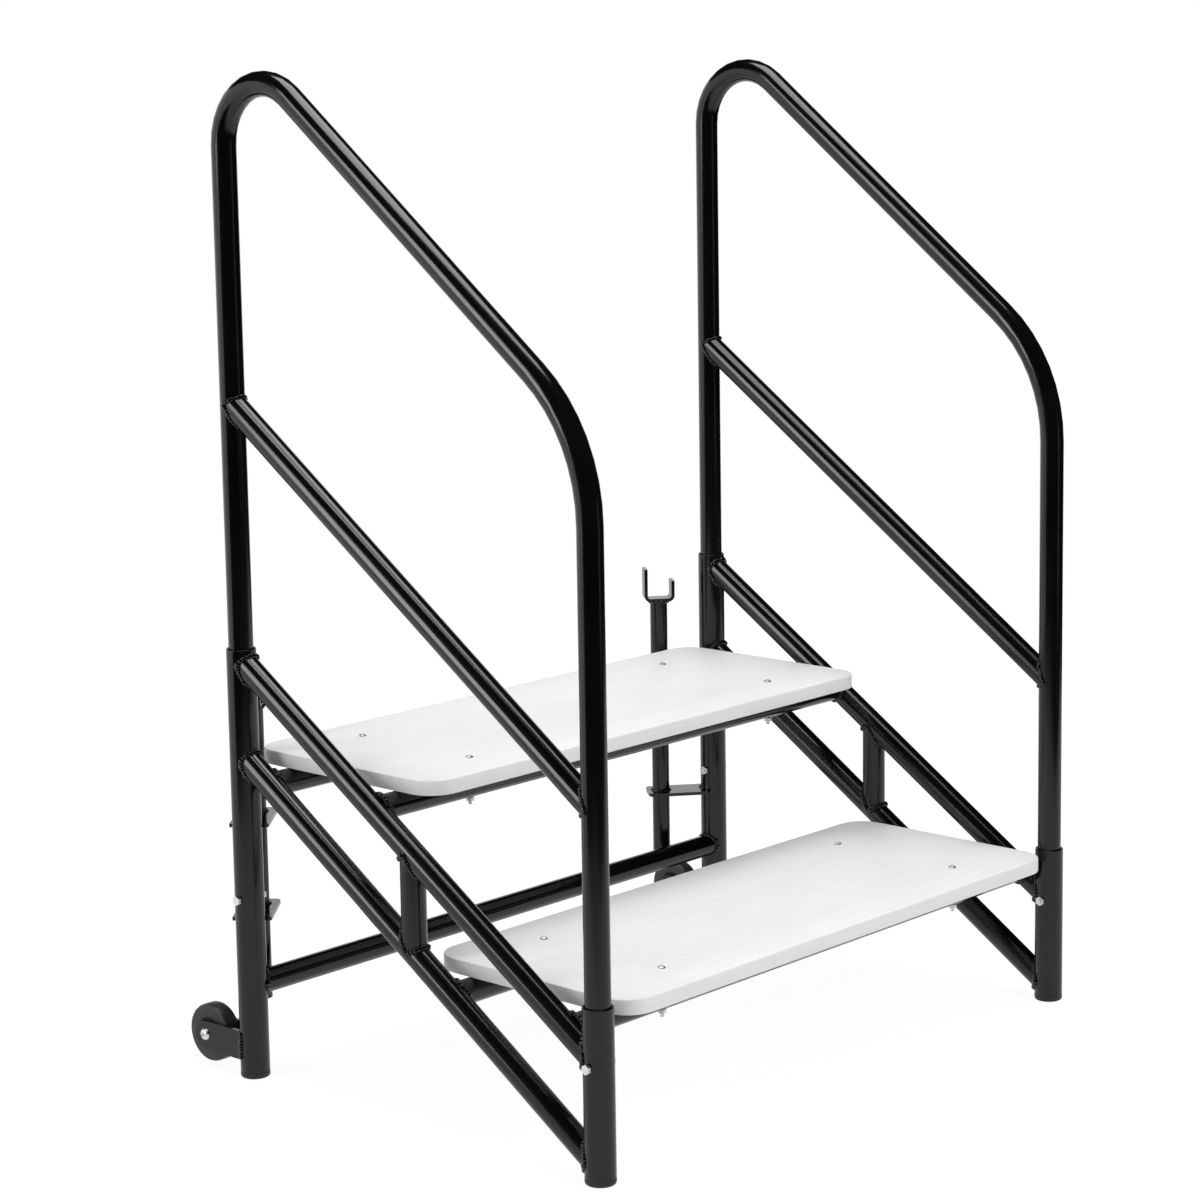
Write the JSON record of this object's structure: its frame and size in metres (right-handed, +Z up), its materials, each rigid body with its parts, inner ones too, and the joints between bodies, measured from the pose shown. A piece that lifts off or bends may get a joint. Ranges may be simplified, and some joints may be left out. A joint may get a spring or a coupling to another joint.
{
  "type": "stage steps",
  "caption": "Stage steps with pale rectangular treads between black tube side frames, bent handrails with mid rails, tip-back wheels and upright hooks that hang on the stage edge.",
  "frame": {"origin": "on the floor, under the middle of the overall width and depth", "axes": "+X to the right of someone climbing, +Y from the lower step towards the stage, +Z up"},
  "size_m": [0.9618, 0.7426, 1.2861],
  "materials": {
    "frame_paint": "glossy black powder coat with a fine texture",
    "zinc_plate": "bright zinc plate",
    "tread_board": "off-white, smooth and matt, with lightly rounded edges",
    "wheel_rubber": "dark grey satin",
    "foot_plastic": "black, moulded"
  },
  "bodies": {
    "frame": {"left_rear_leg": "frame_paint", "left_front_leg": "frame_paint", "left_upper_stringer": "frame_paint", "left_lower_stringer": "frame_paint", "left_strut": "frame_paint", "left_handrail": "frame_paint", "left_mid_rail": "frame_paint", "left_hook_post": "frame_paint", "left_hook": "frame_paint", "left_upper_hook_bracket": "frame_paint", "left_lower_hook_bracket": "frame_paint", "left_wheel_plate_inner": "frame_paint", "left_wheel_plate_outer": "frame_paint", "left_front_foot": "foot_plastic", "left_rear_foot": "foot_plastic", "left_axle_bolt": "zinc_plate", "left_axle_nut": "zinc_plate", "left_front_rail_bolt": "zinc_plate", "left_front_rail_nut": "zinc_plate", "left_rear_rail_bolt": "zinc_plate", "left_rear_rail_nut": "zinc_plate", "right_rear_leg": "frame_paint", "right_front_leg": "frame_paint", "right_upper_stringer": "frame_paint", "right_lower_stringer": "frame_paint", "right_strut": "frame_paint", "right_handrail": "frame_paint", "right_mid_rail": "frame_paint", "right_hook_post": "frame_paint", "right_hook": "frame_paint", "right_upper_hook_bracket": "frame_paint", "right_lower_hook_bracket": "frame_paint", "right_wheel_plate_inner": "frame_paint", "right_wheel_plate_outer": "frame_paint", "right_front_foot": "foot_plastic", "right_rear_foot": "foot_plastic", "right_axle_bolt": "zinc_plate", "right_axle_nut": "zinc_plate", "right_front_rail_bolt": "zinc_plate", "right_front_rail_nut": "zinc_plate", "right_rear_rail_bolt": "zinc_plate", "right_rear_rail_nut": "zinc_plate", "rear_cross_tube": "frame_paint", "lower_tread": "tread_board", "lower_tread_front_support": "frame_paint", "lower_tread_bolt_front_left": "zinc_plate", "lower_tread_bolt_front_right": "zinc_plate", "lower_tread_rear_support": "frame_paint", "lower_tread_bolt_rear_left": "zinc_plate", "lower_tread_bolt_rear_right": "zinc_plate", "upper_tread": "tread_board", "upper_tread_front_support": "frame_paint", "upper_tread_bolt_front_left": "zinc_plate", "upper_tread_bolt_front_right": "zinc_plate", "upper_tread_rear_support": "frame_paint", "upper_tread_bolt_rear_left": "zinc_plate", "upper_tread_bolt_rear_right": "zinc_plate"},
    "left_wheel_body": {"left_wheel": "wheel_rubber"},
    "right_wheel_body": {"right_wheel": "wheel_rubber"}
  },
  "joints": [
    {"name": "left_wheel_spin", "type": "hinge", "parent": "frame", "child": "left_wheel_body", "pos_m": [-0.4572, 0.33325, 0.044], "axis": [1, 0, 0], "continuous": true},
    {"name": "right_wheel_spin", "type": "hinge", "parent": "frame", "child": "right_wheel_body", "pos_m": [0.4572, 0.33325, 0.044], "axis": [1, 0, 0], "continuous": true}
  ]
}
